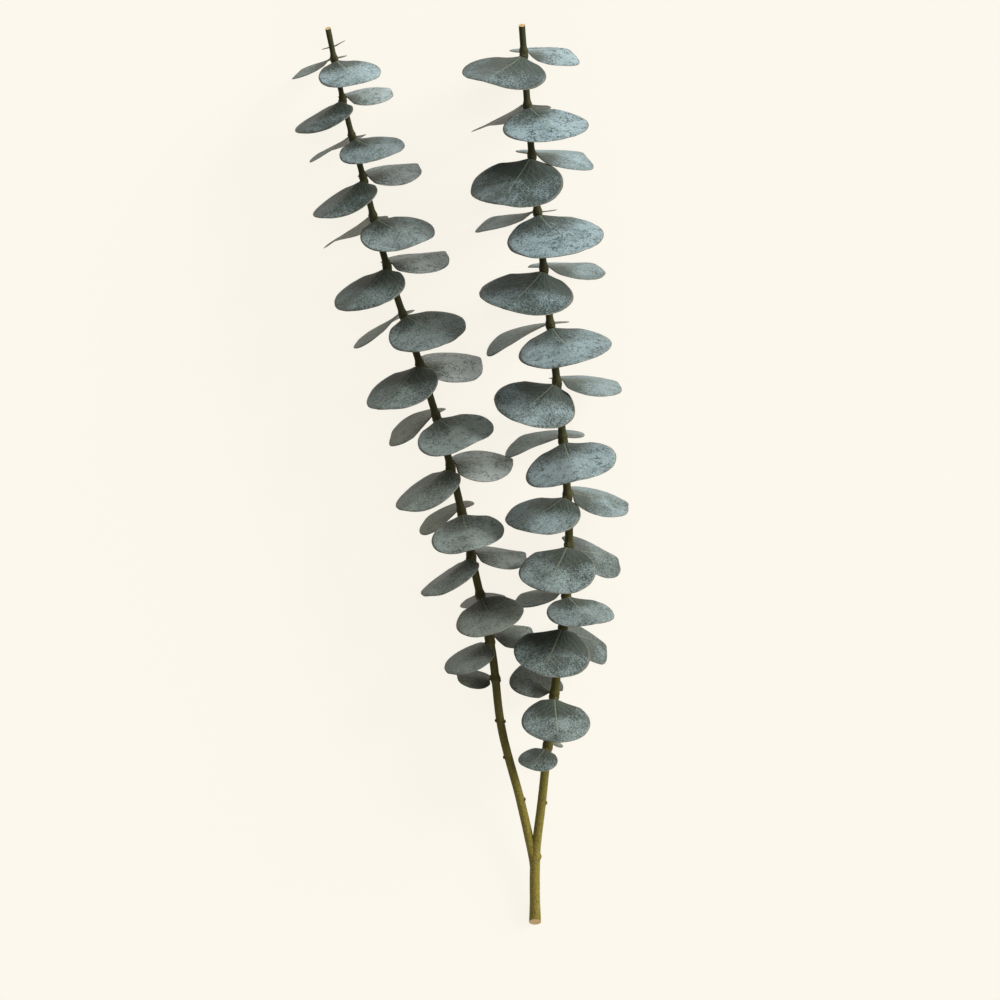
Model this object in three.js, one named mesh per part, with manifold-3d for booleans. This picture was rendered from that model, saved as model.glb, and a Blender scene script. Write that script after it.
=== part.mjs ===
// A cut, forked branch of round-leaved eucalyptus, lying on a surface.
// Millimetres and degrees. +Y runs from the cut foot to the tips, +X to the right shoot's side, +Z up.
import * as THREE from "three";
import { mergeGeometries, mergeVertices } from "three/addons/utils/BufferGeometryUtils.js";
import Module from "manifold-3d";

const wasm = await Module();
wasm.setup();

// Stem diameters along each shoot, as [distance from the cut foot, diameter]
const RIGHT_DIAMETERS = [
  [0, 6.5], [10, 5.9], [38, 5.7], [46, 5.2], [100, 4.7], [250, 4.4], [400, 3.8], [506, 3.4],
];
const LEFT_DIAMETERS = [
  [32, 4.6], [52, 5.1], [100, 4.7], [250, 4.2], [400, 3.6], [470, 2.8], [504, 3.0],
];
const STEM_SIDES = 8;
const NODE_SWELL = 0.45;
const NODE_SWELL_REACH = 2.2;

// Centrelines. The foot lies on the surface, and the leafy shoots are carried clear of it by their leaves.
const RIGHT_LINE = [
  [0, 0, 3.3],
  [0, 40, 9.5],
  [3.5, 76, 16],
  [6.5, 109, 21],
  [10, 140, 25],
  [16, 195, 29.5],
  [17.5, 235, 31.5],
  [14, 284, 33.5],
  [7, 347, 36],
  [0, 407, 38],
  [-5.5, 464, 39.5],
  [-8.5, 505.5, 40],
];
const LEFT_LINE = [
  [-0.5, 32, 8],
  [-1.5, 41, 9.5],
  [-8.5, 76, 15.5],
  [-19, 119, 19.5],
  [-24.5, 165, 22.5],
  [-35.5, 218, 24.5],
  [-46.5, 268, 26],
  [-63, 325, 27.5],
  [-80, 377.5, 29],
  [-92, 424, 30],
  [-102.5, 466, 31],
  [-110, 503.5, 31.5],
];

// Rings of corners on the leafless lower stem, as distances from the foot, and the widest spacing above it
const RIGHT_RINGS = [4, 10, 36, 46, 56, 68, 90];
const LEFT_RINGS = [41, 50, 60, 76, 90, 104, 119, 132];
const NODE_RING_REACH = 2.9;
const RING_SPACING = 14;
const RING_APART = 1;
const TANGENT_STEP = 1.5;

// Fork collar, and scars of fallen leaves as [distance from the foot, side: 1 right, -1 left].
// Sizes are half widths across, along and up. A scar's middle is sunk to a part of the stem's diameter.
const FORK_HEIGHT = 40;
const FORK_COLLAR = [4.4, 1.9, 3.5];
const SCAR_SIZE = [1.2, 1.7, 1.4];
const SCAR_OUT = 0.42;
const RIGHT_SCARS = [[75, 1]];
const LEFT_SCARS = [[76, 1], [103, -1], [122.5, 1], [124, -1], [147.5, 1]];

// Scale leaves at the left tip: turn about the stem, length, rise towards the tip
const SCALE_HEIGHT = 494.5;
const SCALE_LEAVES = [[0, 6.4, 20], [180, 4.6, -10]];
const SCALE_RADIUS = 1.1;

// Leaf blade. Lengths without a unit are parts of the leaf's own length or width.
const LEAF_THICKNESS = 0.7;
const LEAF_WIDTH_TO_LENGTH = 1.13;
const LEAF_FOLD = 14;
const LEAF_FOLD_ROUNDING = 0.08;
const LEAF_ARCH = 0.07;
const LEAF_WAVE = 0.012;
const LEAF_WAVES = 3;
const LEAF_RIM_POINTS = 18;
const LEAF_INNER_RING = 0.55;
const LEAF_LOBE_REACH = 104;
const LEAF_LOBE_GAP = 1;
const LEAF_HUB = 0.46;
const LEAF_POINT = 0.02;
const LEAF_POINT_SPREAD = 0.12;
const LEAF_NOTCH = 14;
const SEAT_GAP = 0.3;
const UNDER_LEAF_RISE = 1.6;
const SURFACE_BEND = 1.2;
const WAVE_SEED = 11;

// How each kind of leaf stands on a shoot: turn about the stem (0 right, 90 up from the surface, 180 left),
// droop towards the foot, roll on its midrib. The four kinds come from opposite pairs, each pair turned
// about a quarter from the next, so an upper and an under leaf take turns with a left and a right one.
const KINDS = ["front", "back", "left", "right"];
const LEFT_HABIT = { front: [60, 15, 5], back: [-130, 10, -5], left: [140, 15, -5], right: [-30, 5, 15] };
const RIGHT_HABIT = { front: [70, 10, 5], back: [-120, 5, -5], left: [115, 10, -10], right: [-45, 5, 15] };

// Pairs from the tip down: distance from the foot, then each leaf's width and how far its turn, droop and
// roll stray from the habit. A pair's rise is how much nearer the tip its under leaf sits.
const LEFT_PAIRS = [
  { at: 487, front: [33, 0, 5, 0], back: [32, 0, -5, -5] },
  { at: 466, left: [33, 0, 0, 0], right: [30, -5, -5, 0] },
  { at: 446, front: [35, -5, 0, 0], back: [34, 0, 0, 0] },
  { at: 424, left: [37, -5, 0, 0], right: [35, -5, -5, 0] },
  { at: 403.5, front: [40, -10, 5, 0], back: [39, -5, 5, 5] },
  { at: 377.5, left: [40, -10, 0, -5], right: [38, -5, 0, 0] },
  { at: 351.5, front: [42, -5, 5, 0], back: [40, 0, 0, 0] },
  { at: 325, left: [41, -10, 0, -5], right: [37, 0, 5, 10], rise: -2 },
  { at: 295.5, front: [42, 5, 0, 0], back: [39, 10, -10, -5] },
  { at: 268, left: [39, 5, 0, 0], right: [36, 10, 5, 5] },
  { at: 242.5, front: [40, 25, 0, -5], back: [36, 20, -10, -5] },
  { at: 218, left: [36, 5, 0, 10], right: [34, 0, 10, 0] },
  { at: 195.5, front: [38, 20, 0, 0], back: [26, 40, 20, 5] },
  { at: 170, left: [30, 10, 0, 0], right: [29, -10, 0, 5] },
  { at: 148, left: [20, 50, -30, -5] },
];
const RIGHT_PAIRS = [
  { at: 490, left: [44, 5, 0, -5], right: [38, -5, -5, 0] },
  { at: 463.5, front: [45, -5, 5, 0], back: [45, 0, 10, 0] },
  { at: 437, left: [49, 0, 10, 0], right: [43, -5, 0, 0] },
  { at: 407, front: [51, 0, 5, 0], back: [46, -5, 0, 0] },
  { at: 377, left: [50, 0, 0, -5], right: [42, -5, 0, -5] },
  { at: 346.5, front: [50, 5, 0, 0], back: [50, 10, 0, 0] },
  { at: 316, left: [44, 10, 0, -15], right: [41, 10, 5, -5] },
  { at: 284, front: [50, 15, 0, 5], back: [47, 20, -5, 5] },
  { at: 253.5, left: [41, 20, 0, 0], right: [38, 20, 10, 0] },
  { at: 226, left: [42, -5, 10, 5], right: [38, 5, 10, 10], rise: -2.2 },
  { at: 198, front: [37, -5, -5, 0], back: [36, -15, 10, -5] },
  { at: 179.5, left: [42, -10, 10, 5], right: [37, 5, 15, 10], rise: -2.2 },
  { at: 139, front: [38, 15, 5, 0], back: [31, 0, -20, 5] },
  { at: 109, front: [22, 45, 0, -5], back: [12, 55, 10, 10] },
];

const STEM_LOOK = { color: 0x5a5537, roughness: 0.7, metalness: 0 };
const LEAF_LOOK = { color: 0x7f9092, roughness: 0.62, metalness: 0 };

const MERGE_DISTANCE = 1e-3;
const radians = THREE.MathUtils.degToRad;
const up = new THREE.Vector3(0, 0, 1);

// A value read off a list of [distance, value] pairs
function along(pairs, y) {
  const next = pairs.findIndex((pair) => pair[0] >= y);
  if (next < 0) return pairs[pairs.length - 1][1];
  if (next === 0) return pairs[0][1];
  const [y0, v0] = pairs[next - 1];
  const [y1, v1] = pairs[next];
  return v0 + ((v1 - v0) * (y - y0)) / (y1 - y0);
}

// A pair's leaves, each with its habit and its own straying added up
function leavesOf(pair, habit) {
  return KINDS.filter((kind) => kind in pair).map((kind) => {
    const [width, ...stray] = pair[kind];
    const [turn, droop, roll] = habit[kind].map((value, i) => value + stray[i]);
    return { kind, width, turn, droop, roll };
  });
}

// One shoot: its centreline, its nodes with their leaves, and its radius at a distance from the cut foot
function makeShoot(line, diameters, pairs, habit) {
  const curve = new THREE.CatmullRomCurve3(line.map((p) => new THREE.Vector3(...p)));
  const start = line[0][1];
  const end = line[line.length - 1][1];
  const pointAt = (y) => {
    let low = 0;
    let high = 1;
    for (let i = 0; i < 40; i++) {
      const mid = (low + high) / 2;
      if (curve.getPoint(mid).y < y) low = mid;
      else high = mid;
    }
    return curve.getPoint(low);
  };
  const frameAt = (y) => {
    const before = pointAt(Math.max(start, y - TANGENT_STEP));
    const after = pointAt(Math.min(end, y + TANGENT_STEP));
    const axis = after.sub(before).normalize();
    const right = new THREE.Vector3().crossVectors(axis, up).normalize();
    const front = new THREE.Vector3().crossVectors(right, axis);
    return { at: pointAt(y), axis, right, front };
  };
  const nodes = pairs.map((pair) => ({
    at: pair.at,
    rise: pair.rise ?? UNDER_LEAF_RISE,
    leaves: leavesOf(pair, habit),
  }));
  const swellAt = (y) => {
    const nearest = Math.min(...nodes.map((node) => Math.abs(node.at - y)));
    return NODE_SWELL * Math.exp(-((nearest / NODE_SWELL_REACH) ** 2));
  };
  const radiusAt = (y) => along(diameters, y) / 2 + swellAt(y);
  return { start, end, nodes, frameAt, radiusAt };
}

// A direction square to the stem, turned about it
function outward(frame, turn) {
  const out = frame.right.clone().multiplyScalar(Math.cos(radians(turn)));
  return out.addScaledVector(frame.front, Math.sin(radians(turn)));
}

// Distances at which a shoot's tube has a ring of corners: each node, both sides of it, and in between
function ringsOf(shoot, extra) {
  const marks = [shoot.start, shoot.end, ...extra];
  for (const node of shoot.nodes) {
    marks.push(node.at - NODE_RING_REACH, node.at, node.at + NODE_RING_REACH);
  }
  marks.sort((a, b) => a - b);
  const rings = [];
  for (const mark of marks) {
    const last = rings[rings.length - 1];
    if (last === undefined || mark - last > RING_APART) rings.push(mark);
  }
  const filled = [];
  rings.forEach((ring, i) => {
    filled.push(ring);
    const next = rings[i + 1];
    if (next - ring > RING_SPACING) filled.push((ring + next) / 2);
  });
  return filled;
}

// A tapering tube along a shoot
function shootTube(shoot, extra) {
  const rings = ringsOf(shoot, extra);
  const tube = new THREE.CylinderGeometry(1, 1, 1, STEM_SIDES, rings.length - 1);
  const places = tube.attributes.position;
  const corner = new THREE.Vector3();
  for (let i = 0; i < places.count; i++) {
    corner.fromBufferAttribute(places, i);
    const y = rings[Math.round((corner.y + 0.5) * (rings.length - 1))];
    const frame = shoot.frameAt(y);
    const radius = shoot.radiusAt(y);
    const place = frame.at.addScaledVector(frame.right, corner.x * radius);
    place.addScaledVector(frame.front, corner.z * radius);
    places.setXYZ(i, place.x, place.y, place.z);
  }
  return tube;
}

// An egg-shaped swelling on a shoot, a distance to one side of its centreline
function swelling(shoot, y, sideways, size) {
  const frame = shoot.frameAt(y);
  const bump = new THREE.SphereGeometry(1, 8, 6);
  bump.scale(...size);
  const turn = new THREE.Matrix4().makeBasis(frame.right, frame.axis, frame.front);
  const place = frame.at.addScaledVector(frame.right, sideways);
  return bump.applyMatrix4(turn.setPosition(place));
}

// The scars of fallen leaves down one shoot
function scars(shoot, diameters, list) {
  return list.map(([y, side]) => swelling(shoot, y, side * SCAR_OUT * along(diameters, y), SCAR_SIZE));
}

// A tiny pointed scale leaf, its root sunk in the stem
function scaleLeaf(shoot, [turn, length, rise]) {
  const frame = shoot.frameAt(SCALE_HEIGHT);
  const cone = new THREE.ConeGeometry(SCALE_RADIUS, length, 6);
  cone.translate(0, length / 2, 0);
  const point = outward(frame, turn).multiplyScalar(Math.cos(radians(rise)));
  point.addScaledVector(frame.axis, Math.sin(radians(rise)));
  const turned = new THREE.Quaternion().setFromUnitVectors(new THREE.Vector3(0, 1, 0), point);
  cone.applyQuaternion(turned);
  return cone.translate(frame.at.x, frame.at.y, frame.at.z);
}

// A geometry with only its places, its shared corners merged
function bareGeometry(geometry, distance) {
  const bare = new THREE.BufferGeometry();
  bare.setAttribute("position", geometry.attributes.position);
  bare.setIndex(geometry.index);
  return mergeVertices(bare, distance);
}

// Closed solids and back
function solidOf(geometry) {
  const merged = bareGeometry(geometry, MERGE_DISTANCE);
  return new wasm.Manifold(
    new wasm.Mesh({
      numProp: 3,
      vertProperties: merged.attributes.position.array,
      triVerts: new Uint32Array(merged.index.array),
    }),
  );
}

function geometryOf(solid) {
  const mesh = solid.getMesh();
  const geometry = new THREE.BufferGeometry();
  geometry.setAttribute("position", new THREE.BufferAttribute(new Float32Array(mesh.vertProperties), 3));
  geometry.setIndex(new THREE.BufferAttribute(new Uint32Array(mesh.triVerts), 1));
  geometry.computeVertexNormals();
  return geometry;
}

// A blade of even thickness about a surface, split alike on both faces
function thicken(surface, thickness) {
  surface.computeVertexNormals();
  const places = surface.attributes.position;
  const normals = surface.attributes.normal;
  const faces = surface.index.array;
  const count = places.count;
  const points = [];
  for (const side of [0.5, -0.5]) {
    for (let i = 0; i < count; i++) {
      points.push(
        places.getX(i) + side * thickness * normals.getX(i),
        places.getY(i) + side * thickness * normals.getY(i),
        places.getZ(i) + side * thickness * normals.getZ(i),
      );
    }
  }
  const triangles = [];
  const edges = new Set();
  for (let i = 0; i < faces.length; i += 3) {
    const [a, b, c] = [faces[i], faces[i + 1], faces[i + 2]];
    triangles.push(a, b, c, count + a, count + c, count + b);
    for (const [from, to] of [[a, b], [b, c], [c, a]]) edges.add(`${from},${to}`);
  }
  for (const edge of edges) {
    const [from, to] = edge.split(",").map(Number);
    if (edges.has(`${to},${from}`)) continue;
    triangles.push(from, count + from, count + to, from, count + to, to);
  }
  const solid = new THREE.BufferGeometry();
  solid.setAttribute("position", new THREE.Float32BufferAttribute(points, 3));
  solid.setIndex(triangles);
  return solid;
}

// The flat outline of a leaf of length 1 and half width 1, from the tip at 0 round to the base at plus or
// minus 180 degrees. Each lobe reaches as far round as the leaf opposite leaves it room.
function outlinePoint(angle, reaches) {
  const reach = radians(angle < 0 ? reaches[0] : reaches[1]);
  const across = Math.sin(angle);
  let out = LEAF_HUB + (1 - LEAF_HUB) * Math.cos(angle);
  out += LEAF_POINT * Math.exp(-((angle / LEAF_POINT_SPREAD) ** 2));
  const toBase = (Math.PI - Math.abs(angle)) / radians(LEAF_NOTCH);
  if (out < 0) out *= Math.min(1, Math.sqrt(Math.max(0, toBase)));
  const sideways = (Math.abs(across) * LEAF_WIDTH_TO_LENGTH) / 2;
  if (Math.atan2(sideways, out) > reach) out = sideways / Math.tan(reach);
  return [out, across];
}

// How far round each lobe may reach: half the way to the leaf opposite, less a gap
function lobeReaches(node, leaf) {
  const reaches = [LEAF_LOBE_REACH, LEAF_LOBE_REACH];
  for (const other of node.leaves) {
    if (other === leaf) continue;
    const onward = THREE.MathUtils.euclideanModulo(other.turn - leaf.turn, 360);
    reaches[0] = Math.min(LEAF_LOBE_REACH, (360 - onward) / 2 - LEAF_LOBE_GAP);
    reaches[1] = Math.min(LEAF_LOBE_REACH, onward / 2 - LEAF_LOBE_GAP);
  }
  return reaches;
}

// A soft stop: what would sink below the surface lies along it
function restOn(z) {
  const lowest = LEAF_THICKNESS / 2;
  return lowest + SURFACE_BEND * Math.log1p(Math.exp((z - lowest) / SURFACE_BEND));
}

// A leaf's own frame on its shoot: base point, midrib, sideways and upper-face directions
function leafFrame(shoot, node, leaf) {
  const frame = shoot.frameAt(node.at);
  const droop = radians(leaf.droop);
  const roll = radians(leaf.roll);
  const out = outward(frame, leaf.turn);
  const midrib = out.clone().multiplyScalar(Math.cos(droop)).addScaledVector(frame.axis, -Math.sin(droop));
  const level = frame.axis.clone().multiplyScalar(Math.cos(droop)).addScaledVector(out, Math.sin(droop));
  const sideways = new THREE.Vector3().crossVectors(level, midrib);
  const normal = level.multiplyScalar(Math.cos(roll)).addScaledVector(sideways, -Math.sin(roll));
  const side = new THREE.Vector3().crossVectors(normal, midrib);
  const base = frame.at.addScaledVector(out, shoot.radiusAt(node.at) + SEAT_GAP);
  if (leaf.turn < 0) base.addScaledVector(frame.axis, node.rise);
  return { base, midrib, side, normal };
}

// One leaf in place on its shoot: a disc drawn out to the leaf's outline, folded, arched and waved
function leafBlade(shoot, node, leaf, phase) {
  const { base, midrib, side, normal } = leafFrame(shoot, node, leaf);
  const reaches = lobeReaches(node, leaf);
  const width = leaf.width;
  const length = width / LEAF_WIDTH_TO_LENGTH;
  const rounding = LEAF_FOLD_ROUNDING * width;
  const disc = mergeGeometries([
    new THREE.CircleGeometry(LEAF_INNER_RING, LEAF_RIM_POINTS),
    new THREE.RingGeometry(LEAF_INNER_RING, 1, LEAF_RIM_POINTS, 1),
  ]);
  const surface = bareGeometry(disc, MERGE_DISTANCE);
  const places = surface.attributes.position;
  for (let i = 0; i < places.count; i++) {
    const s = Math.hypot(places.getX(i), places.getY(i));
    const angle = Math.atan2(places.getY(i), places.getX(i));
    const rim = outlinePoint(angle, reaches);
    const out = length * (LEAF_HUB + s * (rim[0] - LEAF_HUB));
    const across = s * rim[1] * (width / 2);
    let rise = -Math.tan(radians(LEAF_FOLD)) * (Math.hypot(across, rounding) - rounding);
    rise -= (LEAF_ARCH * out * out) / length;
    const wave = LEAF_WAVE * width * s * s * Math.sin(LEAF_WAVES * angle + phase);
    rise += wave * Math.min(1, (2 * out) / length);
    const place = base.clone().addScaledVector(midrib, out);
    place.addScaledVector(side, across * Math.cos(radians(LEAF_FOLD)));
    place.addScaledVector(normal, rise);
    places.setXYZ(i, place.x, place.y, restOn(place.z));
  }
  return thicken(surface, LEAF_THICKNESS);
}

const branch = new THREE.Group();

function addMesh(name, geometry, look) {
  const mesh = new THREE.Mesh(geometry, new THREE.MeshStandardMaterial(look));
  mesh.name = name;
  branch.add(mesh);
}

const rightShoot = makeShoot(RIGHT_LINE, RIGHT_DIAMETERS, RIGHT_PAIRS, RIGHT_HABIT);
const leftShoot = makeShoot(LEFT_LINE, LEFT_DIAMETERS, LEFT_PAIRS, LEFT_HABIT);

const woody = [
  shootTube(rightShoot, RIGHT_RINGS),
  shootTube(leftShoot, LEFT_RINGS),
  swelling(rightShoot, FORK_HEIGHT, 0, FORK_COLLAR),
  ...scars(rightShoot, RIGHT_DIAMETERS, RIGHT_SCARS),
  ...scars(leftShoot, LEFT_DIAMETERS, LEFT_SCARS),
  ...SCALE_LEAVES.map((scale) => scaleLeaf(leftShoot, scale)),
];
addMesh("stem", geometryOf(wasm.Manifold.union(woody.map(solidOf))), STEM_LOOK);

THREE.MathUtils.seededRandom(WAVE_SEED);
for (const [side, shoot] of [["left", leftShoot], ["right", rightShoot]]) {
  shoot.nodes.forEach((node, i) => {
    for (const leaf of node.leaves) {
      const name = `leaf_${side}_${String(i + 1).padStart(2, "0")}_${leaf.kind}`;
      const phase = 2 * Math.PI * THREE.MathUtils.seededRandom();
      addMesh(name, leafBlade(shoot, node, leaf, phase), LEAF_LOOK);
    }
  });
}

// The frame's origin: the middle of the branch's box, on the surface
const box = new THREE.Box3().setFromObject(branch, true);
const middle = box.getCenter(new THREE.Vector3());
branch.position.set(-middle.x, -middle.y, -box.min.z);

const root = new THREE.Group();
root.add(branch);
export default root;
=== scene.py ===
import bpy
import math
import numpy as np
from mathutils import Matrix, Vector


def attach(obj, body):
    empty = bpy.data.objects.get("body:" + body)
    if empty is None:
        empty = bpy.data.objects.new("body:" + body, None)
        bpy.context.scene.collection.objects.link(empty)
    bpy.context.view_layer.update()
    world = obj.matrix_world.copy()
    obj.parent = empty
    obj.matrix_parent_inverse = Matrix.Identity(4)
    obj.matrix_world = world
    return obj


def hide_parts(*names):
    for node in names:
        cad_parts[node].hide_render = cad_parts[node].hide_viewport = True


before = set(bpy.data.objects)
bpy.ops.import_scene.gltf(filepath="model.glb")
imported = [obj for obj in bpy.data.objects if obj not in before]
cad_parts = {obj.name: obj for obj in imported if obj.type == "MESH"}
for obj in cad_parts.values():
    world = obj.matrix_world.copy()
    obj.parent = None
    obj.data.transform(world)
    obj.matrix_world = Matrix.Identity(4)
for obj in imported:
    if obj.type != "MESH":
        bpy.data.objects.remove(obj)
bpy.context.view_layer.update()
mm = 0.001
print("frame:", len(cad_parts), "nodes")


class Term:
    # a value in a node tree that adds and multiplies like a number
    def __init__(self, bench, socket):
        self.bench = bench
        self.socket = socket

    def __add__(self, other):
        return self.bench.math("ADD", self, other)

    def __sub__(self, other):
        return self.bench.math("SUBTRACT", self, other)

    def __rsub__(self, other):
        return self.bench.math("SUBTRACT", other, self)

    def __mul__(self, other):
        return self.bench.math("MULTIPLY", self, other)

    def __truediv__(self, other):
        return self.bench.math("DIVIDE", self, other)

    __radd__ = __add__
    __rmul__ = __mul__


class NodeBench:
    # puts nodes in a geometry or shader tree and wires them up
    def __init__(self, tree):
        self.tree = tree

    def feed(self, socket, value):
        if isinstance(value, Term):
            value = value.socket
        if isinstance(value, bpy.types.NodeSocket):
            self.tree.links.new(value, socket)
        elif value is not None:
            socket.default_value = value

    def node(self, kind, feeds=None, **settings):
        made = self.tree.nodes.new(kind)
        for name, value in settings.items():
            setattr(made, name, value)
        for name, value in (feeds or {}).items():
            self.feed(made.inputs[name], value)
        return made

    def math(self, operation, *values):
        made = self.node("ShaderNodeMath", operation=operation)
        for socket, value in zip(made.inputs, values):
            self.feed(socket, value)
        return Term(self, made.outputs[0])

    def vectorMath(self, operation, *values):
        made = self.node("ShaderNodeVectorMath", operation=operation)
        for socket, value in zip(made.inputs, values):
            self.feed(socket, value)
        return made.outputs["Vector"]

    def scaled(self, vector, amount):
        made = self.node("ShaderNodeVectorMath", {"Scale": amount}, operation="SCALE")
        self.feed(made.inputs[0], vector)
        return made.outputs["Vector"]

    def dot(self, first, second):
        made = self.node("ShaderNodeVectorMath", operation="DOT_PRODUCT")
        self.feed(made.inputs[0], first)
        self.feed(made.inputs[1], second)
        return Term(self, made.outputs["Value"])

    def total(self, first, *others):
        for other in others:
            first = self.vectorMath("ADD", first, other)
        return first

    def split(self, vector):
        made = self.node("ShaderNodeSeparateXYZ", {"Vector": vector})
        return [Term(self, socket) for socket in made.outputs]

    def joined(self, x, y, z):
        return self.node("ShaderNodeCombineXYZ", {"X": x, "Y": y, "Z": z}).outputs[0]

    def bell(self, value, width):
        part = value / width
        return self.math("EXPONENT", part * part * -1.0)

    def ramp(self, value, low, high, toLow=0.0, toHigh=1.0):
        feeds = {"Value": value, "From Min": low, "From Max": high, "To Min": toLow, "To Max": toHigh}
        made = self.node("ShaderNodeMapRange", feeds, interpolation_type="SMOOTHSTEP")
        return Term(self, made.outputs["Result"])

    def noise(self, vector, scale, detail=2.0, roughness=0.5):
        feeds = {"Vector": vector, "Scale": scale, "Detail": detail, "Roughness": roughness}
        return Term(self, self.node("ShaderNodeTexNoise", feeds).outputs[0])

    def mixed(self, amount, first, second):
        # the node has sockets of every kind, and its colours are inputs 6 and 7 and output 2
        made = self.node("ShaderNodeMix", data_type="RGBA")
        self.feed(made.inputs["Factor"], amount)
        self.feed(made.inputs[6], first)
        self.feed(made.inputs[7], second)
        return made.outputs[2]

    def stored(self, geometry, name, value, kind="FLOAT", domain="POINT"):
        # the geometry with a value that a finish reads by name
        feeds = {"Geometry": geometry, "Name": name}
        made = self.node("GeometryNodeStoreNamedAttribute", feeds, data_type=kind, domain=domain)
        self.feed(made.inputs["Value"], value)
        return made.outputs[0]

    def read(self, name):
        # a single number stored on the mesh, in a finish
        return Term(self, self.node("ShaderNodeAttribute", attribute_name=name).outputs["Fac"])

    def readVector(self, name):
        return self.node("ShaderNodeAttribute", attribute_name=name).outputs["Vector"]


def newGeometryTree(name, inputs):
    tree = bpy.data.node_groups.new(name, "GeometryNodeTree")
    tree.interface.new_socket(name="Geometry", in_out="OUTPUT", socket_type="NodeSocketGeometry")
    identifiers = {}
    for label, kind in inputs.items():
        socket = tree.interface.new_socket(name=label, in_out="INPUT", socket_type="NodeSocket" + kind)
        identifiers[label] = socket.identifier
    return tree, identifiers


def meshFromTree(name, tree, identifiers, values):
    # runs a tree on an empty mesh and keeps the result as a plain one
    piece = bpy.data.objects.new(name, bpy.data.meshes.new(name + "Start"))
    bpy.context.scene.collection.objects.link(piece)
    modifier = piece.modifiers.new("shape", "NODES")
    modifier.node_group = tree
    for label, value in values.items():
        modifier[identifiers[label]] = value
    bpy.context.view_layer.update()
    graph = bpy.context.evaluated_depsgraph_get()
    mesh = bpy.data.meshes.new_from_object(piece.evaluated_get(graph), depsgraph=graph)
    piece.modifiers.remove(modifier)
    start = piece.data
    piece.data = mesh
    mesh.name = name
    bpy.data.meshes.remove(start)
    return piece


# The two shoots, in millimetres from the cut foot: centreline places, then distance and diameter
shoots = {
    "right": {
        "line": [(0, 0, 3.3), (0, 40, 9.5), (3.5, 76, 16), (6.5, 109, 21), (10, 140, 25), (16, 195, 29.5),
                 (17.5, 235, 31.5), (14, 284, 33.5), (7, 347, 36), (0, 407, 38), (-5.5, 464, 39.5),
                 (-8.5, 505.5, 40)],
        "diameters": [(0, 6.9), (5, 6.4), (12, 5.9), (38, 5.7), (46, 5.2), (100, 4.7), (250, 4.4),
                      (400, 3.8), (506, 3.4)],
        "scars": [(40.5, -1), (41, 1), (75, 1)],
    },
    "left": {
        "line": [(-0.5, 32, 8), (-1.5, 41, 9.5), (-8.5, 76, 15.5), (-19, 119, 19.5), (-24.5, 165, 22.5),
                 (-35.5, 218, 24.5), (-46.5, 268, 26), (-63, 325, 27.5), (-80, 377.5, 29), (-92, 424, 30),
                 (-102.5, 466, 31), (-110, 503.5, 31.5)],
        "diameters": [(32, 4.6), (52, 5.1), (100, 4.7), (250, 4.2), (400, 3.6), (470, 2.8), (504, 3.0)],
        "scars": [(76, 1), (103, -1), (122.5, 1), (124, -1), (147.5, 1)],
    },
}
pathPlaces = 420              # places along each shoot
footDepth = 1.5 * mm          # CAD points this near to the cut end are the foot's ring


def smoothLine(points, count):
    # a smooth curve through the points, as close-set places
    points = np.array(points, float)
    steps = np.sqrt(np.linalg.norm(np.diff(points, axis=0), axis=1))
    times = np.concatenate([[0], np.cumsum(steps)])
    slopes = np.gradient(points, times, axis=0)
    at = np.linspace(0, times[-1], count)
    i = np.clip(np.searchsorted(times, at, side="right") - 1, 0, len(times) - 2)
    span = (times[i + 1] - times[i])[:, None]
    u = (at - times[i])[:, None] / span
    start = (2 * u**3 - 3 * u**2 + 1) * points[i] + (u**3 - 2 * u**2 + u) * span * slopes[i]
    end = (3 * u**2 - 2 * u**3) * points[i + 1] + (u**3 - u**2) * span * slopes[i + 1]
    return start + end


def nodePlaces(name):
    # the points of a CAD node, each once
    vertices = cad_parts[name].data.vertices
    places = np.zeros(len(vertices) * 3)
    vertices.foreach_get("co", places)
    return np.unique(np.round(places.reshape(-1, 3), 6), axis=0)


def readShoots():
    # sets both shoots in the frame by the foot of the CAD stem
    stem = nodePlaces("stem")
    footRing = stem[stem[:, 1] < stem[:, 1].min() + footDepth]
    shift = footRing.mean(axis=0) - np.array(shoots["right"]["line"][0]) * mm
    for shoot in shoots.values():
        line = smoothLine(shoot["line"], pathPlaces)
        distance, diameter = np.array(shoot["diameters"], float).T
        shoot["radii"] = np.interp(line[:, 1], distance, diameter) / 2 * mm
        shoot["path"] = line * mm + shift
        tangents = np.gradient(shoot["path"], axis=0)
        shoot["tangents"] = tangents / np.linalg.norm(tangents, axis=1)[:, None]
    return shift


footShift = readShoots()
print("shoots set at", [round(float(x), 4) for x in footShift])

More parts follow.
